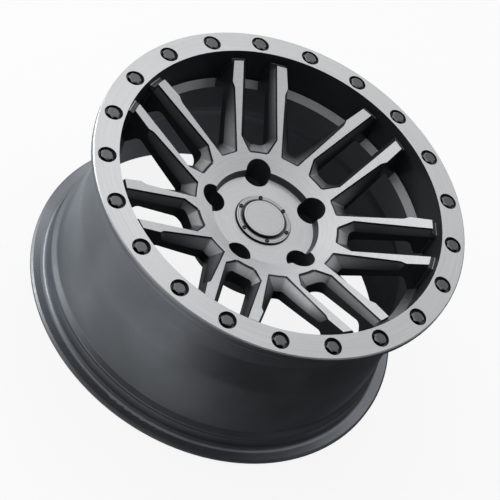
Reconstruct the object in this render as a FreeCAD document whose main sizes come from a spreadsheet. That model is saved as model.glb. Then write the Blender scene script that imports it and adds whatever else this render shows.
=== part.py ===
import FreeCAD
import Part
import math
import os
import Sketcher
from FreeCAD import Placement, Rotation, Vector

# One-piece cast off-road road wheel with seven split spokes, a bolted-look front ring and a push-in
# centre cap. The origin is the middle of the mounting pad, +Z runs along the axle to the street side,
# and +Y points at the middle of one spoke pair, which is also the place of one lug hole and one bolt.

SIZES = {
    # rim: radii from the axle, heights from the mounting pad
    "bead_seat_radius": 231.0,
    "flange_height": 17.5,
    "rim_width": 228.6,
    "backspacing": 137.0,
    "back_flange": 8.0,
    "front_flange": 13.7,
    "ring_inset": 15.2,
    "ring_fall": 3.5,
    "ring_chamfer": 1.4,
    "lip_bevel": 2.4,
    "seat_round": 6.5,
    "seat_width": 19.0,
    "seat_fall": 1.7,
    "hump_rise": 1.0,
    "hump_width": 4.0,
    "hump_round": 4.0,
    "well_depth": 22.0,
    "well_inset": 44.6,
    "well_width": 29.0,
    "well_ramp": 40.0,
    "well_round": 12.0,
    "barrel_depth": 10.5,
    "barrel_flare": 4.0,
    "barrel_round": 40.0,
    "barrel_wall": 6.5,
    "back_lip_inset": 10.5,
    "back_lip_break": 2.0,
    "back_throat": 15.0,
    "back_throat_round": 9.0,
    "ledge_step": 5.4,
    "ledge_width": 10.5,
    "ledge_sink": 36.3,
    "ledge_fall": 5.1,
    "inner_drop": 11.6,
    # hub and spoke disc
    "bore_radius": 39.05,
    "bore_chamfer": 1.5,
    "bore_depth": 20.0,
    "cap_undercut": 4.0,
    "cap_shoulder": 28.0,
    "cap_bore_radius": 31.0,
    "recess_floor": 44.0,
    "recess_lean": 3.6,
    "recess_depth": 8.9,
    "recess_radius": 72.2,
    "recess_round": 2.0,
    "face_slope": 0.3757,
    "tip_gap": 8.6,
    "tip_lean": 1.0,
    "tip_drop": 4.8,
    "root_sink": 1.6,
    "arch_inset": 12.9,
    "arch_height": 75.0,
    "arch_round": 8.0,
    "hub_back_radius": 97.0,
    "hub_back_height": 34.0,
    "hub_back_round": 9.0,
    "pad_radius": 88.0,
    # windows, drawn on planes that lie along the spoke face: half widths across the spoke, distances
    # along the face from the tip of its cone
    "spoke_pairs": 7.0,
    "window_over": 9.0,
    "bevel_above": 4.5,
    "slot_half": 24.4,
    "slot_half_out": 22.5,
    "slot_shoulder": 119.6,
    "slot_end_half": 12.5,
    "slot_end": 99.7,
    "slot_bevel_depth": 12.0,
    "slot_bevel_run": 0.68,
    "slot_shoulder_run": 0.22,
    "slot_end_half_run": 0.57,
    "slot_end_run": 1.5,
    "slot_corner_round": 4.0,
    "wall_above": 6.0,
    "wall_below": 46.0,
    "slot_wall_half": 18.2,
    "slot_wall_half_out": 17.6,
    "slot_wall_end": 115.2,
    "slot_wall_draft": 0.12,
    "slot_wall_rake": 0.15,
    "slot_wall_round": 12.0,
    "vee_end_half": 11.6,
    "vee_end": 100.7,
    "vee_notch_half": 42.0,
    "vee_notch": 181.0,
    "vee_bevel_depth": 16.0,
    "vee_end_half_run": 0.57,
    "vee_end_run": 1.24,
    "vee_end_round": 3.2,
    "vee_notch_half_run": 0.45,
    "notch_round": 9.0,
    "vee_wall_half": 5.6,
    "vee_wall_end": 117.5,
    "vee_wall_half_out": 68.8,
    "vee_wall_draft": 0.04,
    "vee_wall_draft_out": 0.12,
    "vee_wall_round": 4.0,
    # lug holes
    "lug_count": 5.0,
    "lug_circle_radius": 69.85,
    "lug_pocket_radius": 16.8,
    "lug_seat_radius": 12.2,
    "lug_floor": 19.3,
    "lug_seat_foot": 12.0,
    "stud_hole_radius": 8.0,
    "cut_over": 30.0,
    # ring bolts
    "bolt_count": 21.0,
    "bolt_inset": 15.2,
    "counterbore_radius": 11.75,
    "counterbore_depth": 7.2,
    "bolt_across": 15.0,
    "bolt_head": 6.2,
    "bolt_chamfer": 1.1,
    "bolt_bevel": 2.2,
    "bolt_stem_radius": 4.0,
    "bolt_stem": 4.0,
    "fit_clearance": 0.2,
    # valve hole
    "valve_hole_radius": 5.65,
    "valve_face_radius": 8.0,
    "valve_face_sink": 1.0,
    "valve_wall": 6.0,
    "valve_tilt": 45.0,
    "valve_place": 0.44,
    # centre cap
    "cap_radius": 36.6,
    "cap_bezel": 3.0,
    "cap_bezel_round": 1.2,
    "cap_groove_radius": 29.6,
    "cap_groove": 1.4,
    "cap_middle_radius": 27.4,
    "cap_middle": 6.0,
    "cap_middle_round": 1.2,
    "cap_skin": 2.2,
    "cap_disc_radius": 24.6,
    "cap_disc": 1.4,
    "leg_wall": 2.3,
    "leg_hook": 1.5,
    "leg_hook_height": 4.0,
    "leg_slot": 7.0,
    "leg_count": 6.0,
    "spring_wire": 1.0,
    "cap_screw_count": 6.0,
    "cap_screw_circle": 33.1,
    "cap_screw_head": 1.7,
    "cap_screw_rise": 0.9,
    "cap_screw_stem": 0.8,
    "cap_screw_length": 1.8,
}

doc = FreeCAD.newDocument("alloy_wheel")
sheet = doc.addObject("Spreadsheet::Sheet", "Sizes")
for row, (name, size) in enumerate(SIZES.items(), start=1):
    sheet.set("A%d" % row, name)
    sheet.set("B%d" % row, repr(size))
    sheet.setAlias("B%d" % row, name)
doc.recompute()

# Heights and radii that several pieces share, written as sums and products of named sizes.
FLANGE = "bead_seat_radius + flange_height"
BACK_FACE = "back_flange - backspacing"
FRONT_FACE = "rim_width + back_flange - backspacing"
SEAT_TOE = "bead_seat_radius - seat_fall"
RECESS_EDGE = "recess_floor + recess_depth"
RING_INNER = "bead_seat_radius - ring_inset"
RING_FRONT = FRONT_FACE + " + front_flange"
LEDGE_OUT = RING_INNER + " - ledge_step"
LEDGE_IN = LEDGE_OUT + " - ledge_width"
LEDGE_HEIGHT = FRONT_FACE + " - ledge_sink"
LEDGE_FOOT = LEDGE_HEIGHT + " - ledge_fall"
WELL = "bead_seat_radius - well_depth"
WELL_FRONT = FRONT_FACE + " - well_inset"
WELL_BACK = WELL_FRONT + " - well_width"
BARREL = "bead_seat_radius - barrel_depth"
BARREL_START = WELL_BACK + " - well_ramp"
BACK_LIP = FLANGE + " - back_lip_inset"
CONE_TIP = RECESS_EDGE + " - face_slope * recess_radius"
TIP = RING_INNER + " - tip_gap"
TIP_HEIGHT = CONE_TIP + " + face_slope * bead_seat_radius - face_slope * ring_inset - face_slope * tip_gap"
WINDOW_REACH = "bead_seat_radius + window_over"
BOLT_CIRCLE = RING_INNER + " + bolt_inset"
BOLT_SEAT = RING_FRONT + " - counterbore_depth"
VALVE_RADIUS = LEDGE_IN + " + valve_place * ledge_width"
VALVE_HEIGHT = LEDGE_FOOT + " + valve_place * ledge_fall"


def terms(text):
    """Split a sum of products of named sizes, with spaces between its words, into signed factors."""
    found = [(1.0, [])]
    for word in text.split():
        if word in "+-":
            found.append((-1.0 if word == "-" else 1.0, []))
        elif word != "*":
            found[-1][1].append(word)
    return [term for term in found if term[1]]


def number(text):
    """Value of a sum of products of named sizes."""
    total = 0.0
    for sign, factors in terms(text):
        product = sign
        for factor in factors:
            product *= SIZES[factor] if factor in SIZES else float(factor)
        total += product
    return total


def bound(text):
    """The same sum as an expression on the spreadsheet."""
    pieces = []
    for sign, factors in terms(text):
        names = ["Sizes." + factor if factor in SIZES else "(" + factor + ")" for factor in factors]
        pieces.append(("- " if sign < 0 else "+ ") + " * ".join(names))
    return "0 " + " ".join(pieces)


def origin_feature(body, role):
    for feature in body.Origin.OriginFeatures:
        if feature.Role == role:
            return feature
    raise RuntimeError("no origin feature " + role)


def new_sketch(body, label, plane):
    sketch = body.newObject("Sketcher::SketchObject", label)
    sketch.AttachmentSupport = [(origin_feature(body, plane), "")]
    sketch.MapMode = "FlatFace"
    return sketch


def hold(sketch, kind, geometry, point, text, flip):
    """Tie one coordinate of a sketch point to the spreadsheet."""
    value = number(text)
    if text.strip() == "0":
        axis = -2 if kind == "DistanceX" else -1
        sketch.addConstraint(Sketcher.Constraint("PointOnObject", geometry, point, axis))
        return
    if flip:
        value = -value
    index = sketch.addConstraint(Sketcher.Constraint(kind, -1, 1, geometry, point, value))
    expression = bound(text)
    if flip:
        expression = "-(" + expression + ")"
    sketch.setExpression("Constraints[%d]" % index, expression)


def draw_outline(sketch, corners, flip_y=False):
    """Closed outline through corners (x, y) or (x, y, rounding), each a sum of named sizes."""
    count = len(corners)
    points = []
    for corner in corners:
        y = number(corner[1])
        points.append(Vector(number(corner[0]), -y if flip_y else y, 0))
    starts = list(points)
    ends = list(points)
    arcs = {}
    for i, corner in enumerate(corners):
        if len(corner) < 3:
            continue
        radius = number(corner[2])
        to_last = (points[i - 1] - points[i]).normalize()
        to_next = (points[(i + 1) % count] - points[i]).normalize()
        half = 0.5 * to_last.getAngle(to_next)
        reach = radius / math.tan(half)
        ends[i] = points[i] + to_last * reach
        starts[i] = points[i] + to_next * reach
        centre = points[i] + (to_last + to_next).normalize() * (radius / math.sin(half))
        turn = (points[i] - points[i - 1]).cross(to_next).z
        first, last = (ends[i], starts[i]) if turn > 0 else (starts[i], ends[i])
        a0 = math.atan2(first.y - centre.y, first.x - centre.x)
        a1 = math.atan2(last.y - centre.y, last.x - centre.x)
        circle = Part.Circle(centre, Vector(0, 0, 1), radius)
        arcs[i] = (Part.ArcOfCircle(circle, a0, a1), turn > 0)
    lines = []
    for i in range(count):
        lines.append(sketch.addGeometry(Part.LineSegment(starts[i], ends[(i + 1) % count]), False))
    for i, corner in enumerate(corners):
        before = lines[i - 1]
        after = lines[i]
        if i not in arcs:
            sketch.addConstraint(Sketcher.Constraint("Coincident", before, 2, after, 1))
            hold(sketch, "DistanceX", after, 1, corner[0], False)
            hold(sketch, "DistanceY", after, 1, corner[1], flip_y)
            continue
        curve, left_turn = arcs[i]
        arc = sketch.addGeometry(curve, False)
        mark = sketch.addGeometry(Part.Point(points[i]), True)
        hold(sketch, "DistanceX", mark, 1, corner[0], False)
        hold(sketch, "DistanceY", mark, 1, corner[1], flip_y)
        sketch.addConstraint(Sketcher.Constraint("PointOnObject", mark, 1, before))
        sketch.addConstraint(Sketcher.Constraint("PointOnObject", mark, 1, after))
        sketch.addConstraint(Sketcher.Constraint("Tangent", before, 2, arc, 1 if left_turn else 2))
        sketch.addConstraint(Sketcher.Constraint("Tangent", after, 1, arc, 2 if left_turn else 1))
        index = sketch.addConstraint(Sketcher.Constraint("Radius", arc, number(corner[2])))
        sketch.setExpression("Constraints[%d]" % index, bound(corner[2]))


def mirrored(half):
    """Outline symmetric about the Y axis from its right half, listed from its outer end inwards."""
    left = []
    for corner in reversed(half):
        flipped = " + ".join("-1 * " + part for part in signed_parts(corner[0]))
        left.append((flipped,) + tuple(corner[1:]))
    return list(half) + left


def signed_parts(text):
    """The terms of a sum, each written as one product."""
    return [("-1 * " if sign < 0 else "") + " * ".join(factors) for sign, factors in terms(text)]


def face_sketch(body, label, rise, half, toward_back):
    """Sketch on a plane along the spoke face, lifted by a height, over +Y or over -Y."""
    sketch = new_sketch(body, label, "XY_Plane")
    slope = math.atan(SIZES["face_slope"])
    lift = number(rise)
    turn = -1.0 if toward_back else 1.0
    base = Vector(0, -turn * lift * math.sin(slope), number(CONE_TIP) + lift * math.cos(slope))
    sketch.AttachmentOffset = Placement(base, Rotation(Vector(turn, 0, 0), math.degrees(slope)))
    lean = "atan(Sizes.face_slope)"
    sketch.setExpression("AttachmentOffset.Rotation.Angle", lean)
    side = "" if toward_back else "-"
    sketch.setExpression("AttachmentOffset.Base.y", "%s(%s) * sin(%s)" % (side, bound(rise), lean))
    height = "(%s) + (%s) * cos(%s)" % (bound(CONE_TIP), bound(rise), lean)
    sketch.setExpression("AttachmentOffset.Base.z", height)
    draw_outline(sketch, mirrored(half), flip_y=toward_back)
    return sketch


def loft_cut(body, label, upper, lower):
    loft = body.newObject("PartDesign::SubtractiveLoft", label)
    loft.Profile = upper
    loft.Sections = [(lower, [""])]
    loft.Ruled = True
    return loft


def revolve(body, label, corners, kind="PartDesign::Revolution", plane="YZ_Plane", shift=None):
    """Turn an outline (radius, height) round the sketch's own upright axis."""
    sketch = new_sketch(body, label + "_section", plane)
    if shift is not None:
        sketch.AttachmentOffset = Placement(Vector(number(shift), 0, 0), Rotation())
        sketch.setExpression("AttachmentOffset.Base.x", bound(shift))
    draw_outline(sketch, corners)
    turned = body.newObject(kind, label)
    turned.Profile = sketch
    turned.ReferenceAxis = (sketch, ["V_Axis"])
    turned.Angle = 360.0
    return turned


def round_pattern(body, label, originals, count):
    pattern = body.newObject("PartDesign::PolarPattern", label)
    pattern.Originals = originals
    pattern.Axis = (origin_feature(body, "Z_Axis"), [""])
    pattern.Angle = 360.0
    pattern.Occurrences = int(SIZES[count])
    pattern.setExpression("Occurrences", "Sizes." + count)
    body.Tip = pattern
    return pattern


def new_body(label):
    body = doc.addObject("PartDesign::Body", label)
    body.Label = label
    return body


def volume_drop(body, before, what):
    """A cut that points away from the metal removes nothing, so its volume is compared."""
    doc.recompute()
    after = body.Shape.Volume
    if not after < before - 1.0:
        raise RuntimeError(what + " removed nothing")
    return after


# Wheel casting, spoke disc first: hub, recess and one conical face out to the spoke tips.
wheel = new_body("wheel")
disc = revolve(wheel, "disc", [
    ("bore_radius + bore_chamfer", "0"),
    ("bore_radius", "bore_chamfer"),
    ("bore_radius", "bore_depth"),
    ("cap_bore_radius + cap_undercut", "bore_depth"),
    ("cap_bore_radius + cap_undercut", "cap_shoulder"),
    ("cap_bore_radius", "cap_shoulder"),
    ("cap_bore_radius", "recess_floor"),
    ("recess_radius - recess_lean", "recess_floor", "recess_round"),
    ("recess_radius", RECESS_EDGE),
    (TIP, TIP_HEIGHT),
    (TIP + " + tip_lean", TIP_HEIGHT + " - tip_drop"),
    (RING_INNER + " + root_sink", TIP_HEIGHT + " - tip_drop"),
    (LEDGE_OUT + " - root_sink - root_sink", LEDGE_FOOT + " - root_sink"),
    (LEDGE_IN + " + root_sink", LEDGE_FOOT + " - root_sink"),
    (LEDGE_IN + " - arch_inset", "arch_height", "arch_round"),
    ("hub_back_radius", "hub_back_height", "hub_back_round"),
    ("pad_radius", "0"),
])
doc.recompute()
volume = wheel.Shape.Volume
whole = volume

# Windows: a slot inside each spoke pair and a wide vee between pairs. Each is cut twice, by a bevel
# that leaves the sloped facets along the blades and by a drafted opening through the disc.
slot_bevel = []
for rise in ("bevel_above", "-1 * slot_bevel_depth"):
    slot_bevel.append(face_sketch(wheel, "slot_bevel_%d" % len(slot_bevel), rise, [
        ("slot_half_out + slot_bevel_run * " + rise, WINDOW_REACH),
        ("slot_half + slot_bevel_run * " + rise, "slot_shoulder - slot_shoulder_run * " + rise,
         "slot_corner_round"),
        ("slot_end_half + slot_end_half_run * " + rise, "slot_end - slot_end_run * " + rise,
         "slot_corner_round"),
    ], False))
slot_bevel_cut = loft_cut(wheel, "slot_bevel", slot_bevel[0], slot_bevel[1])
volume = volume_drop(wheel, volume, "slot bevel")

slot_wall = []
for rise in ("wall_above", "-1 * wall_below"):
    slot_wall.append(face_sketch(wheel, "slot_wall_%d" % len(slot_wall), rise, [
        ("slot_wall_half_out + slot_wall_draft * " + rise, WINDOW_REACH),
        ("slot_wall_half + slot_wall_draft * " + rise, "slot_wall_end + slot_wall_rake * " + rise,
         "slot_wall_round"),
    ], False))
slot_wall_cut = loft_cut(wheel, "slot_wall", slot_wall[0], slot_wall[1])
volume = volume_drop(wheel, volume, "slot wall")

vee_bevel = []
for rise in ("bevel_above", "-1 * vee_bevel_depth"):
    vee_bevel.append(face_sketch(wheel, "vee_bevel_%d" % len(vee_bevel), rise, [
        ("vee_notch_half + vee_notch_half_run * " + rise, WINDOW_REACH),
        ("vee_notch_half + vee_notch_half_run * " + rise, "vee_notch", "notch_round"),
        ("vee_end_half + vee_end_half_run * " + rise, "vee_end - vee_end_run * " + rise, "vee_end_round"),
    ], True))
vee_bevel_cut = loft_cut(wheel, "vee_bevel", vee_bevel[0], vee_bevel[1])
volume = volume_drop(wheel, volume, "vee bevel")

vee_wall = []
for rise in ("wall_above", "-1 * wall_below"):
    vee_wall.append(face_sketch(wheel, "vee_wall_%d" % len(vee_wall), rise, [
        ("vee_wall_half_out + vee_wall_draft_out * " + rise, WINDOW_REACH),
        ("vee_wall_half + vee_wall_draft * " + rise, "vee_wall_end", "vee_wall_round"),
    ], True))
vee_wall_cut = loft_cut(wheel, "vee_wall", vee_wall[0], vee_wall[1])
volume = volume_drop(wheel, volume, "vee wall")
one_pair = whole - volume

round_pattern(wheel, "windows", [slot_bevel_cut, slot_wall_cut, vee_bevel_cut, vee_wall_cut], "spoke_pairs")
volume = volume_drop(wheel, volume, "window pattern")
if abs(whole - volume - one_pair * int(SIZES["spoke_pairs"])) > 0.02 * one_pair:
    raise RuntimeError("a window is missing from the pattern")

# Rim: front ring, bead seats with humps, drop well, barrel and back flange, all in one section. Its
# inner wall and front-facing ledge close the windows at their outer end.
rim = revolve(wheel, "rim", [
    (RING_INNER, RING_FRONT),
    (LEDGE_OUT, LEDGE_HEIGHT),
    (LEDGE_IN, LEDGE_FOOT),
    (LEDGE_IN, WELL_BACK + " - inner_drop"),
    (BARREL + " - barrel_wall", BARREL_START, "barrel_round"),
    (BARREL + " + barrel_flare - barrel_wall", BACK_FACE + " + back_throat", "back_throat_round"),
    (BACK_LIP + " - back_lip_break", "-1 * backspacing + back_lip_break"),
    (BACK_LIP, "-1 * backspacing"),
    (FLANGE + " - lip_bevel", "-1 * backspacing"),
    (FLANGE, "-1 * backspacing + lip_bevel"),
    (FLANGE, BACK_FACE + " - lip_bevel"),
    (FLANGE + " - lip_bevel", BACK_FACE),
    ("bead_seat_radius", BACK_FACE, "seat_round"),
    (SEAT_TOE, BACK_FACE + " + seat_width"),
    (SEAT_TOE + " + hump_rise", BACK_FACE + " + seat_width + hump_width", "hump_round"),
    (BARREL + " + barrel_flare", BACK_FACE + " + seat_width + hump_width + hump_width + hump_width",
     "hump_round"),
    (BARREL, BARREL_START, "barrel_round"),
    (WELL, WELL_BACK, "well_round"),
    (WELL, WELL_FRONT, "well_round"),
    (SEAT_TOE, FRONT_FACE + " - seat_width - hump_width - hump_width", "hump_round"),
    (SEAT_TOE + " + hump_rise", FRONT_FACE + " - seat_width - hump_width", "hump_round"),
    (SEAT_TOE, FRONT_FACE + " - seat_width"),
    ("bead_seat_radius", FRONT_FACE, "seat_round"),
    (FLANGE + " - lip_bevel", FRONT_FACE),
    (FLANGE, FRONT_FACE + " + lip_bevel"),
    (FLANGE, RING_FRONT + " - ring_fall - ring_chamfer"),
    (FLANGE + " - ring_chamfer", RING_FRONT + " - ring_fall"),
])
doc.recompute()
if not wheel.Shape.Volume > volume + 1.0:
    raise RuntimeError("rim added nothing")
volume = wheel.Shape.Volume

# Lug holes: a round pocket down from the recess, a conical nut seat and the stud hole to the pad.
lug = revolve(wheel, "lug_hole", [
    ("0", "-1 * cut_over"),
    ("stud_hole_radius", "-1 * cut_over"),
    ("stud_hole_radius", "lug_seat_foot"),
    ("lug_seat_radius", "lug_floor"),
    ("lug_pocket_radius", "lug_floor"),
    ("lug_pocket_radius", RECESS_EDGE + " + cut_over"),
    ("0", RECESS_EDGE + " + cut_over"),
], "PartDesign::Groove", "YZ_Plane", "lug_circle_radius")
volume = volume_drop(wheel, volume, "lug hole")
round_pattern(wheel, "lug_holes", [lug], "lug_count")
volume = volume_drop(wheel, volume, "lug hole pattern")

# Counterbores and blind holes of the ring bolts.
bolt_hole = revolve(wheel, "bolt_hole", [
    ("0", BOLT_SEAT + " - bolt_stem - fit_clearance - fit_clearance"),
    ("bolt_stem_radius + fit_clearance", BOLT_SEAT + " - bolt_stem - fit_clearance - fit_clearance"),
    ("bolt_stem_radius + fit_clearance", BOLT_SEAT),
    ("counterbore_radius", BOLT_SEAT),
    ("counterbore_radius", RING_FRONT + " + cut_over"),
    ("0", RING_FRONT + " + cut_over"),
], "PartDesign::Groove", "YZ_Plane", BOLT_CIRCLE)
volume = volume_drop(wheel, volume, "bolt hole")
round_pattern(wheel, "bolt_holes", [bolt_hole], "bolt_count")
volume = volume_drop(wheel, volume, "bolt hole pattern")

# Valve hole through the corner of the drop well in the vee window over -Y, spot-faced on both sides.
valve_sketch = new_sketch(wheel, "valve_section", "YZ_Plane")
valve_base = Vector(-number(VALVE_RADIUS), number(VALVE_HEIGHT), 0)
valve_sketch.AttachmentOffset = Placement(valve_base, Rotation(Vector(0, 0, -1), number("valve_tilt")))
valve_sketch.setExpression("AttachmentOffset.Base.x", "-(" + bound(VALVE_RADIUS) + ")")
valve_sketch.setExpression("AttachmentOffset.Base.y", bound(VALVE_HEIGHT))
valve_sketch.setExpression("AttachmentOffset.Rotation.Angle", "Sizes.valve_tilt")
draw_outline(valve_sketch, [
    ("0", "-1 * cut_over"),
    ("valve_face_radius", "-1 * cut_over"),
    ("valve_face_radius", "-1 * valve_face_sink - valve_wall"),
    ("valve_hole_radius", "-1 * valve_face_sink - valve_wall"),
    ("valve_hole_radius", "-1 * valve_face_sink"),
    ("valve_face_radius", "-1 * valve_face_sink"),
    ("valve_face_radius", "valve_face_radius"),
    ("0", "valve_face_radius"),
])
valve = wheel.newObject("PartDesign::Groove", "valve_hole")
valve.Profile = valve_sketch
valve.ReferenceAxis = (valve_sketch, ["V_Axis"])
valve.Angle = 360.0
volume = volume_drop(wheel, volume, "valve hole")

# Ring bolts: hexagon heads with a turned top edge and a short stem.
bolts = new_body("ring_bolts")
bolts.AllowCompound = True
head_sketch = new_sketch(bolts, "bolt_head_section", "XY_Plane")
corner = number("bolt_across") / math.sqrt(3.0)
hexagon = []
for k in range(6):
    angle = math.radians(60.0 * k)
    hexagon.append(Vector(corner * math.cos(angle), corner * math.sin(angle), 0))
sides = []
for k in range(6):
    sides.append(head_sketch.addGeometry(Part.LineSegment(hexagon[k], hexagon[(k + 1) % 6]), False))
for k in range(6):
    head_sketch.addConstraint(Sketcher.Constraint("Coincident", sides[k - 1], 2, sides[k], 1))
guide = head_sketch.addGeometry(Part.Circle(Vector(0, 0, 0), Vector(0, 0, 1), corner), True)
head_sketch.addConstraint(Sketcher.Constraint("Coincident", guide, 3, -1, 1))
for k in range(6):
    head_sketch.addConstraint(Sketcher.Constraint("PointOnObject", sides[k], 1, guide))
for k in range(1, 6):
    head_sketch.addConstraint(Sketcher.Constraint("Equal", sides[0], sides[k]))
head_sketch.addConstraint(Sketcher.Constraint("PointOnObject", sides[0], 1, -1))
size = head_sketch.addConstraint(Sketcher.Constraint("Radius", guide, corner))
head_sketch.setExpression("Constraints[%d]" % size, "Sizes.bolt_across / sqrt(3)")
head_base = Vector(0, number(BOLT_CIRCLE), number(BOLT_SEAT))
head_sketch.AttachmentOffset = Placement(head_base, Rotation())
head_sketch.setExpression("AttachmentOffset.Base.y", bound(BOLT_CIRCLE))
head_sketch.setExpression("AttachmentOffset.Base.z", bound(BOLT_SEAT))
head = bolts.newObject("PartDesign::Pad", "bolt_head")
head.Profile = head_sketch
head.Length = number("bolt_head")
head.setExpression("Length", "Sizes.bolt_head")
stem = revolve(bolts, "bolt_stem", [
    ("0", BOLT_SEAT + " - bolt_stem"),
    ("bolt_stem_radius", BOLT_SEAT + " - bolt_stem"),
    ("bolt_stem_radius", BOLT_SEAT + " + bolt_chamfer"),
    ("0", BOLT_SEAT + " + bolt_chamfer"),
], "PartDesign::Revolution", "YZ_Plane", BOLT_CIRCLE)
doc.recompute()
bolt_volume = bolts.Shape.Volume
edge = revolve(bolts, "bolt_edge", [
    ("0.5 * bolt_across - bolt_chamfer", BOLT_SEAT + " + bolt_head"),
    ("0.5 * bolt_across + bolt_bevel", BOLT_SEAT + " + bolt_head - bolt_bevel"),
    ("0.5 * bolt_across + bolt_bevel", BOLT_SEAT + " + bolt_head + bolt_bevel"),
    ("0.5 * bolt_across - bolt_chamfer", BOLT_SEAT + " + bolt_head + bolt_bevel"),
], "PartDesign::Groove", "YZ_Plane", BOLT_CIRCLE)
volume_drop(bolts, bolt_volume, "bolt edge")
round_pattern(bolts, "bolt_set", [head, stem, edge], "bolt_count")

# Centre cap: moulded bezel with a groove round a raised middle, and a ring of snap legs that pass the
# bore and hook behind its shoulder.
BEZEL_TOP = "recess_floor + cap_bezel"
MIDDLE_TOP = "recess_floor + cap_middle"
LEG_OUT = "cap_bore_radius - fit_clearance"
HOOK_TOP = "cap_shoulder - fit_clearance"
cap = new_body("cap_body")
revolve(cap, "cap_shell", [
    ("0", MIDDLE_TOP + " - cap_disc"),
    ("cap_disc_radius + fit_clearance", MIDDLE_TOP + " - cap_disc"),
    ("cap_disc_radius + fit_clearance", MIDDLE_TOP),
    ("cap_middle_radius", MIDDLE_TOP, "cap_middle_round"),
    ("cap_middle_radius", BEZEL_TOP + " - cap_groove"),
    ("cap_groove_radius", BEZEL_TOP + " - cap_groove"),
    ("cap_groove_radius", BEZEL_TOP),
    ("cap_radius", BEZEL_TOP, "cap_bezel_round"),
    ("cap_radius", "recess_floor"),
    (LEG_OUT, "recess_floor"),
    (LEG_OUT, HOOK_TOP),
    (LEG_OUT + " + leg_hook", HOOK_TOP),
    (LEG_OUT + " + leg_hook", HOOK_TOP + " - 0.5 * leg_hook_height"),
    (LEG_OUT, HOOK_TOP + " - leg_hook_height"),
    (LEG_OUT + " - leg_wall", HOOK_TOP + " - leg_hook_height"),
    (LEG_OUT + " - leg_wall", BEZEL_TOP + " - cap_groove - cap_skin"),
    ("cap_middle_radius - cap_skin", BEZEL_TOP + " - cap_groove - cap_skin"),
    ("cap_middle_radius - cap_skin", MIDDLE_TOP + " - cap_disc - cap_skin"),
    ("0", MIDDLE_TOP + " - cap_disc - cap_skin"),
])
doc.recompute()
cap_volume = cap.Shape.Volume
slot_sketch = new_sketch(cap, "leg_slot_section", "XZ_Plane")
draw_outline(slot_sketch, [
    ("-0.5 * leg_slot", HOOK_TOP + " - leg_hook_height - cut_over"),
    ("0.5 * leg_slot", HOOK_TOP + " - leg_hook_height - cut_over"),
    ("0.5 * leg_slot", "recess_floor - leg_wall"),
    ("-0.5 * leg_slot", "recess_floor - leg_wall"),
])
leg_slot = cap.newObject("PartDesign::Pocket", "leg_slot")
leg_slot.Profile = slot_sketch
leg_slot.Type = "Length"
leg_slot.Length = number("cap_radius + leg_hook")
leg_slot.setExpression("Length", bound("cap_radius + leg_hook"))
cap_volume = volume_drop(cap, cap_volume, "leg slot")
round_pattern(cap, "leg_slots", [leg_slot], "leg_count")
cap_volume = volume_drop(cap, cap_volume, "leg slot pattern")
screw_hole = revolve(cap, "screw_hole", [
    ("0", BEZEL_TOP + " - cap_screw_length - fit_clearance"),
    ("cap_screw_stem + 0.5 * fit_clearance", BEZEL_TOP + " - cap_screw_length - fit_clearance"),
    ("cap_screw_stem + 0.5 * fit_clearance", BEZEL_TOP + " + cut_over"),
    ("0", BEZEL_TOP + " + cut_over"),
], "PartDesign::Groove", "YZ_Plane", "cap_screw_circle")
cap_volume = volume_drop(cap, cap_volume, "cap screw hole")
round_pattern(cap, "screw_holes", [screw_hole], "cap_screw_count")
volume_drop(cap, cap_volume, "cap screw hole pattern")

# Plain face disc let into the raised middle of the cap.
face = doc.addObject("Part::Cylinder", "cap_disc")
face.Label = "cap_disc"
face.Radius = number("cap_disc_radius")
face.Height = number("cap_disc")
face.setExpression("Radius", "Sizes.cap_disc_radius")
face.setExpression("Height", "Sizes.cap_disc")
face.Placement = Placement(Vector(0, 0, number(MIDDLE_TOP + " - cap_disc")), Rotation())
face.setExpression("Placement.Base.z", bound(MIDDLE_TOP + " - cap_disc"))

# Spring wire that keeps the snap legs spread.
SPRING = LEG_OUT + " - leg_wall - fit_clearance - spring_wire"
SPRING_HEIGHT = HOOK_TOP + " - 0.5 * leg_hook_height"
spring = doc.addObject("Part::Torus", "cap_spring")
spring.Label = "cap_spring"
spring.Radius1 = number(SPRING)
spring.Radius2 = number("spring_wire")
spring.setExpression("Radius1", bound(SPRING))
spring.setExpression("Radius2", "Sizes.spring_wire")
spring.Placement = Placement(Vector(0, 0, number(SPRING_HEIGHT)), Rotation())
spring.setExpression("Placement.Base.z", bound(SPRING_HEIGHT))

# Small pan-head screws on the bezel.
screws = new_body("cap_screws")
screws.AllowCompound = True
screw = revolve(screws, "cap_screw", [
    ("0", BEZEL_TOP + " - cap_screw_length"),
    ("cap_screw_stem", BEZEL_TOP + " - cap_screw_length"),
    ("cap_screw_stem", BEZEL_TOP),
    ("cap_screw_head", BEZEL_TOP),
    ("cap_screw_head", BEZEL_TOP + " + 0.5 * cap_screw_rise"),
    ("cap_screw_head - 0.5 * cap_screw_rise", BEZEL_TOP + " + cap_screw_rise"),
    ("0", BEZEL_TOP + " + cap_screw_rise"),
], "PartDesign::Revolution", "YZ_Plane", "cap_screw_circle")
doc.recompute()
round_pattern(screws, "cap_screw_set", [screw], "cap_screw_count")

doc.recompute()
for item in doc.Objects:
    if "Invalid" in item.State or "Error" in item.State:
        raise RuntimeError("%s failed: %s" % (item.Name, item.State))

pieces = [wheel, bolts, cap, face, spring, screws]
for piece in pieces:
    if piece.Shape.isNull() or not piece.Shape.isValid():
        raise RuntimeError(piece.Label + " has no valid shape")

os.makedirs("parts", exist_ok=True)
for piece in pieces:
    piece.Shape.exportStep("parts/%s.step" % piece.Label)
    print(piece.Label, len(piece.Shape.Solids), round(piece.Shape.Volume / 1000.0, 2))
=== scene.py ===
"""Studio scene of the alloy wheel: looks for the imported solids, cap screw heads, floor, light and camera.

Lengths are in metres. Radii run from the axle and heights from the mounting pad, as in the CAD frame.
"""
import math
from types import SimpleNamespace

import bmesh
import bpy
from mathutils import Matrix, Vector

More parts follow.
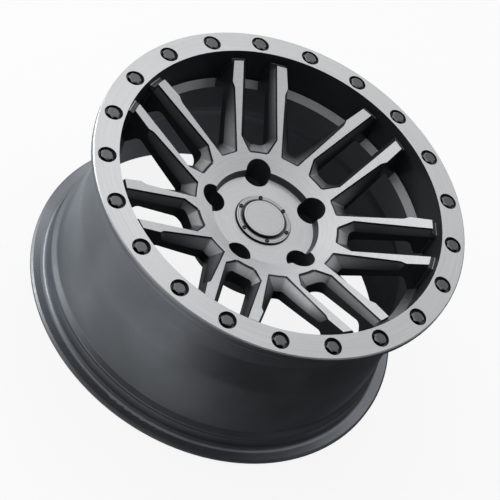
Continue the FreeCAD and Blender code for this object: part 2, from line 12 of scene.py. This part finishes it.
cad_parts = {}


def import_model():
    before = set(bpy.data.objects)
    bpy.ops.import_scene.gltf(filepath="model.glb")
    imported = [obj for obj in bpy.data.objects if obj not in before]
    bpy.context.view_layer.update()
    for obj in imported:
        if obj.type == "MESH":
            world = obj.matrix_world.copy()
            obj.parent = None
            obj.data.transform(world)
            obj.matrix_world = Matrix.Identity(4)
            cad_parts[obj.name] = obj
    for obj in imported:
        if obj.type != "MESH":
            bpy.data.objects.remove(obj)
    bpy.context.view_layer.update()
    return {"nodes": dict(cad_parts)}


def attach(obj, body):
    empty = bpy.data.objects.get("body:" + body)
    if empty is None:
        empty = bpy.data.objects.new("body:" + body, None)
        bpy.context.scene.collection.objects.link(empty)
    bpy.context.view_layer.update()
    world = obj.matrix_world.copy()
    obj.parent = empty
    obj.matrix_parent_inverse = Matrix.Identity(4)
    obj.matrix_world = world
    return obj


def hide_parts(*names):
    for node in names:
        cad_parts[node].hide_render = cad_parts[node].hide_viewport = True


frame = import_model()
nodes = frame["nodes"]
scene = bpy.context.scene

# The cone on which the spoke tops and the hub face lie: its rise per metre of radius and its tip.
CONE_SLOPE = 0.3757
CONE_TIP = 0.025774
CONE_TOLERANCE = 0.0006

# Turned faces. The *_UP ranges hold the upward part of the surface normal.
CONE_UP = (0.90, 0.96)
RING_HEIGHTS = (0.1075, 0.2)
RING_UP = (0.9, 1.1)
CORNER_RADII = (0.2455, 0.3)
CORNER_UP = (0.4, 1.1)
RECESS_HEIGHTS = (0.0435, 0.0446)
SPOKE_END_RADII = (0.2134, 0.2165)
LEVEL_UP = (0.95, 1.1)
CAP_GAP_SHADE_RADII = (0.03, 0.0378)

# Painted zones. The *_OUTWARD ranges hold the part of the normal that points away from the axle.
OUTSIDE_RADII = (0.2075, 0.3)
OUTSIDE_OUTWARD = (0.02, 1.1)
FLAT_HEIGHTS = (-0.2, 0.09)
FLAT_OUTWARD = (-0.3, 0.1)
BACK_FLANGE_HEIGHTS = (-0.2, -0.12)
BACK_FLANGE_RADII = (0.22, 0.3)
BARREL_HEIGHTS = (-0.2, 0.0585)
BARREL_RADII = (0.17, 0.3)
BARREL_OUTWARD = -0.5
HUB_RADII = (0.0, 0.0885)
LEDGE_RADII = (0.1995, 0.2106)
LEDGE_HEIGHTS = (0.055, 0.066)
LEDGE_UP = (0.8, 1.0)
LIP_RADII = (0.225, 0.3)
LIP_SHADE_LINES = ((0.1031, 0.1038), (0.0970, 0.0977))

# Bevels of the spoke windows, by radius, facing and height over the cone.
BEVEL_RADII = (0.088, 0.206)
BEVEL_UP = (0.33, 1.1)
BEVEL_RISE = (-0.03, 0.0)
# Painted shade of the bevels: by how steep they are and by depth under the cone.
BEVEL_SHADE_UP = (0.5, 0.92)
BEVEL_SHADE_RISE = (-0.016, -0.003)
EDGE_LINE = (-0.0026, -0.0014)

# Noise: cells per metre, or per radian round the axle, and the part of its values over which looks change.
FINE_RINGS, FINE_BREAKS = 2600.0, 3.0
WIDE_RINGS, WIDE_BREAKS, WIDE_LAYER = 420.0, 1.2, 4.0
PAINT_FLECKS = 2200.0
CLOUDY_TONE_AND_REFLECTION = 9.0
CAST_SKIN = 420.0
BOLT_WEAR = 700.0
CAP_SKIN = 900.0
BRUSH_ALONG, BRUSH_ACROSS = 60.0, 3200.0
STEEL_GRAIN = 1500.0
MIDDLE = (0.3, 0.7)

# Centre cap.
CHANNEL_RADII = (0.0273, 0.0346)
CHANNEL_TOP = 0.0482
CHANNEL_SHADE_RADII = (0.0296, 0.0332)
RIM_LINE_RADII = (0.0341, 0.0347)
CAP_EDGE_SHADE_RADII = (0.03645, 0.05)

# Cap screws: radius and height pairs from the foot of the stem up over the head, then down the socket.
SCREW_COUNT = 6
FIRST_SCREW = 90.0
SCREW_CIRCLE = 0.0331
BEZEL_HEIGHT = 0.047
SCREW_STEPS = 24
SCREW_PROFILE = (
    (0.0008, -0.0012),
    (0.0008, 0.0),
    (0.0027, 0.0),
    (0.0027, 0.0009),
    (0.0024, 0.0014),
    (0.0019, 0.0017),
)
SCREW_SOCKET = ((0.0013, 0.0017), (0.0013, 0.0006))
HALF_FLAT = math.pi / 6.0

# Floor: white paper, with how much of it glows for the camera and the painted shade that reflections see on
# it.
FLOOR_HEIGHT = -0.137
FLOOR_HALF = 9.0
PAPER = (0.9, 0.9, 0.9, 1.0)
CAMERA_GLOW = 0.88
PAINTED_SHADE_ALONG = (-0.91, 0.41)
PAINTED_SHADE_REACH = (-0.26, 0.30)
PAINTED_SHADE_LEVELS = (0.05, 0.75)
INSIDE_SHADE_RADII = (0.21, 0.27)
INSIDE_SHADE_LEVELS = (0.28, 1.0)

# Studio: patches of light and dark, as direction, where they start and are full, and level.
STUDIO_BASE = 0.12
STUDIO_LEAST = 0.03
STUDIO_PATCHES = (
    ((0.34, 0.59, 0.73), (-0.05, 0.42), 0.71),
    ((0.5, 0.82, 0.25), (0.6, 0.95), 0.28),
    ((-1.0, 0.35, 0.12), (0.75, 0.95), 0.6),
    ((0.37, -0.6, 0.7), (0.8, 0.98), -0.6),
    ((1.0, -0.1, 0.1), (0.82, 0.98), -0.6),
)

# Camera.
CAMERA_PLACE = Vector((-1.4515, -2.2406, 2.9272))
CAMERA_AIM = Vector((-0.0021, -0.0151, 0.0))
CAMERA_ROLL = 33.03
CAMERA_LENS = 225.17
CAMERA_SENSOR = 36.0
CAMERA_REACH = 50.0

NEUTRAL = (1.0, 1.0, 1.0)
COOL = (0.93, 1.0, 1.09)
SILVER = (0.988, 1.0, 1.02)
SATIN = (0.97, 1.0, 1.035)
SPECULAR_TINT = (0.86, 0.94, 1.0, 1.0)


def grey(level, tint=NEUTRAL):
    return (level * tint[0], level * tint[1], level * tint[2], 1.0)


# Tones of the casting.
BLACK_PAINT = grey(0.036, COOL)
GUNMETAL = grey(0.20, COOL)
LIP_LINE_SHADE = grey(0.05, COOL)
BARREL_TONE = grey(0.18, COOL)
HUB_TONE = grey(0.07, COOL)
LEDGE_TONE = grey(0.20, SATIN)
# Bevel tones carry painted shade: steeper bevels and the foot of each bevel are darker.
BEVEL_STEEP_SHADED = grey(0.15, SATIN)
BEVEL_FLAT_LIT = grey(0.26, SATIN)
BEVEL_FOOT_SHADE = grey(0.035, SATIN)
EDGE_TONE = grey(0.014)
TURNED_DARK = grey(0.49, SILVER)
TURNED_LIGHT = grey(0.58, SILVER)
TURNED_BAND = grey(0.45, SILVER)
# Painted shade of the gap round the cap.
GAP_SHADE_TONE = grey(0.03)


class Graph:
    """A node tree with short names for the nodes that the looks and the studio use."""

    def __init__(self, tree):
        self.tree = tree

    def node(self, kind, **values):
        made = self.tree.nodes.new(kind)
        for key, value in values.items():
            setattr(made, key, value)
        return made

    def feed(self, socket, value):
        if hasattr(value, "is_linked"):
            self.tree.links.new(value, socket)
        else:
            socket.default_value = value

    def feed_all(self, made, values):
        for socket, value in zip(made.inputs, values):
            self.feed(socket, value)
        return made

    def calc(self, operation, *values):
        return self.feed_all(self.node("ShaderNodeMath", operation=operation), values).outputs[0]

    def ramp(self, value, limits, levels=(0.0, 1.0)):
        made = self.node("ShaderNodeMapRange", interpolation_type="SMOOTHSTEP")
        return self.feed_all(made, (value, *limits, *levels)).outputs[0]

    def dot(self, first, second):
        made = self.node("ShaderNodeVectorMath", operation="DOT_PRODUCT")
        return self.feed_all(made, (first, second)).outputs["Value"]


class Looks(Graph):
    """One procedural material, built node by node."""

    def __init__(self, name):
        self.material = bpy.data.materials.new(name)
        self.material.use_nodes = True
        super().__init__(self.material.node_tree)
        self.shader = self.tree.nodes["Principled BSDF"]

    def mix(self, amount, first, second):
        """Blend of two colours."""
        made = self.node("ShaderNodeMix", data_type="RGBA")
        self.feed(made.inputs[0], amount)
        self.feed(made.inputs[6], first)
        self.feed(made.inputs[7], second)
        return made.outputs[2]

    def blend(self, amount, first, second):
        """Blend of two numbers."""
        made = self.node("ShaderNodeMix", data_type="FLOAT")
        self.feed(made.inputs[0], amount)
        self.feed(made.inputs[2], first)
        self.feed(made.inputs[3], second)
        return made.outputs[0]

    def noise(self, vector, scale=1.0, detail=2.0, roughness=0.6):
        made = self.node("ShaderNodeTexNoise")
        self.feed(made.inputs["Vector"], vector)
        made.inputs["Scale"].default_value = scale
        made.inputs["Detail"].default_value = detail
        made.inputs["Roughness"].default_value = roughness
        return made.outputs["Fac"]

    def stretched(self, first, first_scale, second, second_scale, layer=0.0):
        """Vector that runs at one scale along one value and at another along a second."""
        along = self.calc("MULTIPLY", first, first_scale)
        across = self.calc("MULTIPLY", second, second_scale)
        return self.feed_all(self.node("ShaderNodeCombineXYZ"), (along, across, layer)).outputs[0]

    def spot(self):
        """Where the shaded point lies: the vector, its parts and the radius from the axle."""
        vector = self.node("ShaderNodeTexCoord").outputs["Object"]
        x, y, z = self.feed_all(self.node("ShaderNodeSeparateXYZ"), (vector,)).outputs
        squares = self.calc("ADD", self.calc("MULTIPLY", x, x), self.calc("MULTIPLY", y, y))
        return SimpleNamespace(vector=vector, x=x, y=y, z=z, radius=self.calc("SQRT", squares))

    def facing(self, spot):
        """Upward and outward parts of the true surface normal."""
        normal = self.node("ShaderNodeNewGeometry").outputs["True Normal"]
        nx, ny, nz = self.feed_all(self.node("ShaderNodeSeparateXYZ"), (normal,)).outputs
        along = self.calc("ADD", self.calc("MULTIPLY", nx, spot.x), self.calc("MULTIPLY", ny, spot.y))
        return nz, self.calc("DIVIDE", along, spot.radius)

    def both(self, first, *others):
        """Mask where all the given masks hold."""
        for other in others:
            first = self.calc("MULTIPLY", first, other)
        return first

    def either(self, first, *others):
        """Mask where at least one of the given masks holds."""
        for other in others:
            first = self.calc("MAXIMUM", first, other)
        return first

    def within(self, value, limits):
        low, high = limits
        return self.both(self.calc("GREATER_THAN", value, low), self.calc("LESS_THAN", value, high))

    def scale(self, colour, amount):
        made = self.node("ShaderNodeVectorMath", operation="SCALE")
        self.feed(made.inputs[0], colour)
        self.feed(made.inputs["Scale"], amount)
        return made.outputs[0]

    def bump(self, height, strength, distance, normal=None):
        made = self.node("ShaderNodeBump")
        made.inputs["Strength"].default_value = strength
        made.inputs["Distance"].default_value = distance
        self.feed(made.inputs["Height"], height)
        if normal is not None:
            self.feed(made.inputs["Normal"], normal)
        return made.outputs[0]

    def soft_edge(self, radius):
        made = self.node("ShaderNodeBevel", samples=6)
        made.inputs["Radius"].default_value = radius
        return made.outputs[0]

    def set(self, **values):
        """Values for the shader's sockets, with underscores for the spaces in their names."""
        for key, value in values.items():
            self.feed(self.shader.inputs[key.replace("_", " ")], value)


def turned_faces(look, spot):
    """Masks of the cone of spoke tops and hub, of the recess floor, and of all that the lathe has turned."""
    near = look.calc("LESS_THAN", look.calc("ABSOLUTE", spot.rise), CONE_TOLERANCE)
    cone = look.both(near, look.within(spot.up, CONE_UP))
    front = look.within(spot.z, RING_HEIGHTS)
    ring = look.both(front, look.within(spot.up, RING_UP))
    corner = look.both(front, look.within(spot.up, CORNER_UP), look.within(spot.radius, CORNER_RADII))
    level = look.within(spot.up, LEVEL_UP)
    recess = look.both(look.within(spot.z, RECESS_HEIGHTS), level)
    ends = look.both(look.within(spot.radius, SPOKE_END_RADII), level)
    return cone, recess, look.either(cone, ring, corner, recess, ends)


def paint_zones(look, spot):
    """Masks of the paint, by where a surface lies and which way it looks."""
    flat = look.both(look.within(spot.outward, FLAT_OUTWARD), look.within(spot.z, FLAT_HEIGHTS))
    outside = look.both(look.either(look.within(spot.outward, OUTSIDE_OUTWARD), flat),
                        look.within(spot.radius, OUTSIDE_RADII))
    flange = look.both(look.within(spot.z, BACK_FLANGE_HEIGHTS), look.within(spot.radius, BACK_FLANGE_RADII))
    barrel = look.both(look.within(spot.z, BARREL_HEIGHTS), look.within(spot.radius, BARREL_RADII),
                       look.calc("LESS_THAN", spot.outward, BARREL_OUTWARD),
                       look.calc("SUBTRACT", 1.0, outside))
    hub = look.within(spot.radius, HUB_RADII)
    ledge = look.both(look.within(spot.radius, LEDGE_RADII), look.within(spot.up, LEDGE_UP),
                      look.within(spot.z, LEDGE_HEIGHTS))
    # Thin dark lines round the lip under the ring: painted shade of its grooves.
    shade_lines = look.either(*(look.within(spot.z, seam) for seam in LIP_SHADE_LINES))
    lip = look.both(outside, shade_lines, look.within(spot.radius, LIP_RADII))
    bevel = look.both(look.within(spot.up, BEVEL_UP), look.within(spot.rise, BEVEL_RISE),
                      look.within(spot.radius, BEVEL_RADII))
    return SimpleNamespace(outside=outside, flange=flange, barrel=barrel, hub=hub, ledge=ledge, lip=lip,
                           bevel=bevel)


def wheel_alloy():
    """Painted casting: gunmetal outside, black in the windows, satin on the bevels, and bright where the
    lathe has turned the front."""
    look = Looks("cast_alloy")
    spot = look.spot()
    spot.up, spot.outward = look.facing(spot)
    spot.rise = look.calc("SUBTRACT", spot.z, look.calc("MULTIPLY_ADD", spot.radius, CONE_SLOPE, CONE_TIP))
    cone, recess, turned = turned_faces(look, spot)
    zones = paint_zones(look, spot)

    # Turning marks: rings about the axle, broken up a little round the circle.
    angle = look.calc("ARCTAN2", spot.y, spot.x)
    marks = look.noise(look.stretched(spot.radius, FINE_RINGS, angle, FINE_BREAKS), roughness=0.65)
    wide_marks = look.noise(look.stretched(spot.radius, WIDE_RINGS, angle, WIDE_BREAKS, WIDE_LAYER))
    bright = look.mix(look.ramp(marks, MIDDLE), TURNED_DARK, TURNED_LIGHT)
    bright = look.mix(look.ramp(wide_marks, (0.35, 0.7), (0.0, 0.4)), bright, TURNED_BAND)
    # The spoke tops and hub are a little brighter than the ring. The recess floor is darker, as painted
    # shade in the recess.
    bright = look.scale(bright, look.blend(recess, look.blend(cone, 1.0, 1.12), 0.88))
    # A dark ring on the recess floor round the cap: painted shade of the gap under its rim.
    gap_shade = look.both(recess, look.within(spot.radius, CAP_GAP_SHADE_RADII))
    bright = look.mix(gap_shade, bright, GAP_SHADE_TONE)

    # Bevels: a black line under the turned edge, then satin grey with painted shade, darker on steeper
    # bevels and darker down each bevel to its foot.
    slope_shade = look.mix(look.ramp(spot.up, BEVEL_SHADE_UP), BEVEL_STEEP_SHADED, BEVEL_FLAT_LIT)
    bevel_tone_with_shade = look.mix(look.ramp(spot.rise, BEVEL_SHADE_RISE), BEVEL_FOOT_SHADE, slope_shade)
    bevel_tone_with_shade = look.mix(look.ramp(spot.rise, EDGE_LINE), bevel_tone_with_shade, EDGE_TONE)

    # Paint: black where no zone says otherwise, and later zones over earlier ones.
    paint = BLACK_PAINT
    for zone, tone in (
            (zones.outside, GUNMETAL),
            (zones.flange, GUNMETAL),
            (zones.lip, LIP_LINE_SHADE),
            (zones.barrel, BARREL_TONE),
            (zones.hub, HUB_TONE),
            (zones.ledge, LEDGE_TONE),
            (zones.bevel, bevel_tone_with_shade)):
        paint = look.mix(zone, paint, tone)
    # Fine flecks of random tone, and broad clouds that are partly random tone and partly a painted cloudy
    # reflection.
    flecks = look.ramp(look.noise(spot.vector, PAINT_FLECKS), (0.35, 0.7), (0.92, 1.07))
    cloudy_tone_and_reflection = look.ramp(look.noise(spot.vector, CLOUDY_TONE_AND_REFLECTION, roughness=0.5), MIDDLE, (0.82, 1.14))
    paint = look.scale(paint, look.calc("MULTIPLY", flecks, cloudy_tone_and_reflection))

    skin = look.noise(spot.vector, CAST_SKIN, detail=3.0)
    metal = look.either(zones.outside, zones.barrel, zones.flange, zones.bevel, zones.ledge)
    satin = (0.34, 0.44)
    height = look.blend(turned, look.calc("MULTIPLY", skin, 0.5), marks)
    look.set(Base_Color=look.mix(turned, paint, bright),
             Metallic=look.blend(turned, look.blend(metal, 0.35, 0.9), 0.6),
             Roughness=look.blend(turned, look.ramp(skin, MIDDLE, satin), look.ramp(marks, MIDDLE, satin)),
             Normal=look.bump(height, 0.10, 0.0003),
             Coat_Weight=0.2,
             Coat_Roughness=0.15,
             Specular_IOR_Level=0.45,
             Specular_Tint=SPECULAR_TINT)
    return look.material


def black_steel():
    """Black-coated bolt heads: upward faces grey, partly random wear and partly painted light, with the
    shiny chamfers painted lighter as a glint and the dull flat tops darker.
    """
    look = Looks("black_steel")
    spot = look.spot()
    up = look.facing(spot)[0]
    wear = look.noise(spot.vector, BOLT_WEAR, detail=3.0)
    # Upward faces grey, partly random wear and partly painted light; chamfers lighter than the flat tops as
    # a painted glint.
    wear_and_painted_light = look.both(look.ramp(up, (0.3, 0.6)), look.ramp(wear, (0.3, 0.75), (0.75, 1.0)))
    flat = look.ramp(up, (0.9, 0.97))
    steel_with_painted_glint = look.mix(flat, grey(0.22, SATIN), grey(0.095, SATIN))
    look.set(Base_Color=look.mix(wear_and_painted_light, grey(0.006), steel_with_painted_glint),
             Metallic=0.85,
             Roughness=look.blend(flat, 0.16, look.ramp(wear, MIDDLE, (0.24, 0.34))),
             Normal=look.bump(wear, 0.08, 0.0002, look.soft_edge(0.0004)))
    return look.material


def cap_plastic():
    """Moulded cap body with a satin metallic paint."""
    look = Looks("cap_plastic")
    spot = look.spot()
    skin = look.noise(spot.vector, CAP_SKIN)
    tone = look.mix(look.ramp(skin, MIDDLE), grey(0.39, SILVER), grey(0.46, SILVER))
    # Painted shade in the channel round the middle and down the outer edge of the rim, and a thin dark line
    # round the rim.
    channel = look.both(look.within(spot.radius, CHANNEL_RADII), look.calc("LESS_THAN", spot.z, CHANNEL_TOP))
    channel_shade = look.mix(look.ramp(spot.radius, CHANNEL_SHADE_RADII), grey(0.05), grey(0.34, SILVER))
    line = look.either(look.within(spot.radius, RIM_LINE_RADII), look.within(spot.radius, CAP_EDGE_SHADE_RADII))
    look.set(Base_Color=look.mix(line, look.mix(channel, tone, channel_shade), grey(0.03)),
             Metallic=0.95,
             Roughness=look.ramp(skin, MIDDLE, (0.32, 0.4)),
             Normal=look.bump(skin, 0.06, 0.0002, look.soft_edge(0.0004)))
    return look.material


def cap_face():
    """Face disc of the cap: bare, finely brushed one way."""
    look = Looks("cap_face")
    spot = look.spot()
    grain = look.noise(look.stretched(spot.x, BRUSH_ALONG, spot.y, BRUSH_ACROSS))
    look.set(Base_Color=look.mix(look.ramp(grain, MIDDLE), grey(0.32, SILVER), grey(0.40, SILVER)),
             Metallic=0.95,
             Roughness=look.ramp(grain, MIDDLE, (0.3, 0.42)),
             Normal=look.bump(grain, 0.06, 0.0002, look.soft_edge(0.0003)))
    return look.material


def plain_steel(name, level, roughness):
    """Steel of one tone with a fine grain, for the spring wire and the cap screws."""
    look = Looks(name)
    grain = look.noise(look.spot().vector, STEEL_GRAIN)
    look.set(Base_Color=look.mix(look.ramp(grain, MIDDLE), grey(level * 0.85), grey(level)),
             Metallic=1.0,
             Roughness=look.ramp(grain, MIDDLE, (roughness - 0.05, roughness + 0.05)),
             Normal=look.soft_edge(0.0002))
    return look.material


FINISH = {
    "wheel": wheel_alloy(),
    "ring_bolts": black_steel(),
    "cap_body": cap_plastic(),
    "cap_disc": cap_face(),
    "cap_spring": plain_steel("spring_steel", 0.45, 0.32),
    "cap_screws": plain_steel("screw_steel", 0.06, 0.22),
}
for name, material in FINISH.items():
    for place in nodes[name].material_slots:
        place.material = material


def screw_rings(mesh, middle):
    """Rings of points round one cap screw: round up to the top of the head, six-sided down the socket."""
    rings = []
    for level, (size, height) in enumerate(SCREW_PROFILE + SCREW_SOCKET):
        ring = []
        for step in range(SCREW_STEPS):
            angle = 2.0 * math.pi * step / SCREW_STEPS
            reach = size
            if level >= len(SCREW_PROFILE):
                reach = size / math.cos((angle + HALF_FLAT) % (2.0 * HALF_FLAT) - HALF_FLAT)
            point = Vector((reach * math.cos(angle), reach * math.sin(angle), height))
            ring.append(mesh.verts.new(middle + point))
        rings.append(ring)
    return rings


def cap_screw_heads():
    """Six pan heads with hexagon sockets on the rim of the cap, in the place of the plain CAD screws."""
    mesh = bmesh.new()
    for turn in range(SCREW_COUNT):
        around = math.radians(FIRST_SCREW + 360.0 / SCREW_COUNT * turn)
        middle = Vector((SCREW_CIRCLE * math.cos(around), SCREW_CIRCLE * math.sin(around), BEZEL_HEIGHT))
        rings = screw_rings(mesh, middle)
        for low, high in zip(rings, rings[1:]):
            for step in range(SCREW_STEPS):
                after = (step + 1) % SCREW_STEPS
                mesh.faces.new((low[step], low[after], high[after], high[step]))
        mesh.faces.new(rings[-1])
        mesh.faces.new(rings[0][::-1])
    data = bpy.data.meshes.new("cap_screw_heads")
    mesh.to_mesh(data)
    mesh.free()
    made = bpy.data.objects.new("cap_screw_heads", data)
    scene.collection.objects.link(made)
    data.materials.append(FINISH["cap_screws"])
    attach(made, "root")
    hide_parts("cap_screws")


def floor_paper():
    """White paper: the camera sees it glow with a faint shadow, and reflections see it with painted shade,
    darker towards one side and inside the wheel."""
    look = Looks("floor_paper")
    look.set(Base_Color=PAPER, Roughness=0.9, Specular_IOR_Level=0.0)
    spot = look.spot()
    ray = look.node("ShaderNodeLightPath")
    mirrored = look.either(ray.outputs["Is Glossy Ray"], ray.outputs["Is Transmission Ray"])
    # Painted shade on the glow that reflections see: darker towards one side and under the wheel.
    across = look.calc("ADD", look.calc("MULTIPLY", spot.x, PAINTED_SHADE_ALONG[0]),
                       look.calc("MULTIPLY", spot.y, PAINTED_SHADE_ALONG[1]))
    shade = look.both(look.ramp(across, PAINTED_SHADE_REACH, PAINTED_SHADE_LEVELS),
                      look.ramp(spot.radius, INSIDE_SHADE_RADII, INSIDE_SHADE_LEVELS))
    glow = look.node("ShaderNodeEmission")
    look.feed(glow.inputs["Strength"], look.blend(mirrored, 1.0, shade))
    seen = look.calc("MULTIPLY", ray.outputs["Is Camera Ray"], CAMERA_GLOW)
    surface = look.feed_all(look.node("ShaderNodeMixShader"),
                            (look.either(seen, mirrored), look.shader.outputs[0], glow.outputs[0]))
    look.feed(look.tree.nodes["Material Output"].inputs["Surface"], surface.outputs[0])
    return look.material


def floor():
    """The paper that the wheel lies on."""
    side = FLOOR_HALF
    corners = [(-side, -side, FLOOR_HEIGHT), (side, -side, FLOOR_HEIGHT),
               (side, side, FLOOR_HEIGHT), (-side, side, FLOOR_HEIGHT)]
    mesh = bpy.data.meshes.new("floor")
    mesh.from_pydata(corners, [], [(0, 1, 2, 3)])
    mesh.materials.append(floor_paper())
    made = bpy.data.objects.new("floor", mesh)
    scene.collection.objects.link(made)


def world():
    """Studio round the wheel: a wide bright sheet beyond and above it, a soft box at the left, and dark
    in front and low at the right."""
    made = bpy.data.worlds.new("studio")
    made.use_nodes = True
    graph = Graph(made.node_tree)
    toward = graph.node("ShaderNodeTexCoord").outputs["Generated"]
    total = STUDIO_BASE
    for direction, limits, level in STUDIO_PATCHES:
        across = graph.dot(toward, Vector(direction).normalized())
        total = graph.calc("ADD", total, graph.ramp(across, limits, (0.0, level)))
    sky = made.node_tree.nodes["Background"]
    graph.feed(sky.inputs["Color"], grey(1.0))
    graph.feed(sky.inputs["Strength"], graph.calc("MAXIMUM", total, STUDIO_LEAST))
    scene.world = made


def camera():
    """Long lens that looks down on the wheel, rolled so that the wheel stands as in the photograph."""
    data = bpy.data.cameras.new("camera")
    data.sensor_width = CAMERA_SENSOR
    data.lens = CAMERA_LENS
    data.clip_end = CAMERA_REACH
    made = bpy.data.objects.new("camera", data)
    level = (CAMERA_AIM - CAMERA_PLACE).to_track_quat("-Z", "Y").to_matrix().to_4x4()
    roll = Matrix.Rotation(math.radians(CAMERA_ROLL), 4, "Z")
    made.matrix_world = Matrix.Translation(CAMERA_PLACE) @ level @ roll
    scene.collection.objects.link(made)
    scene.camera = made


def lamp(name, place, aim, size, power):
    """Rectangular lamp, with its place and aim in metres and its power in watts."""
    data = bpy.data.lights.new(name, "AREA")
    data.shape = "RECTANGLE"
    data.size, data.size_y = size
    data.energy = power
    made = bpy.data.objects.new(name, data)
    made.location = place
    made.rotation_euler = (Vector(aim) - Vector(place)).to_track_quat("-Z", "Y").to_euler()
    scene.collection.objects.link(made)


cap_screw_heads()
floor()
world()
camera()
lamp("key", place=(0.2, 0.9, 1.5), aim=(0.0, 0.0, 0.0), size=(1.0, 1.0), power=3.0)
lamp("strip", place=(-1.5, 1.2, 0.55), aim=(-0.1, 0.05, 0.0), size=(1.6, 0.3), power=12.0)
scene.view_settings.view_transform = "Standard"
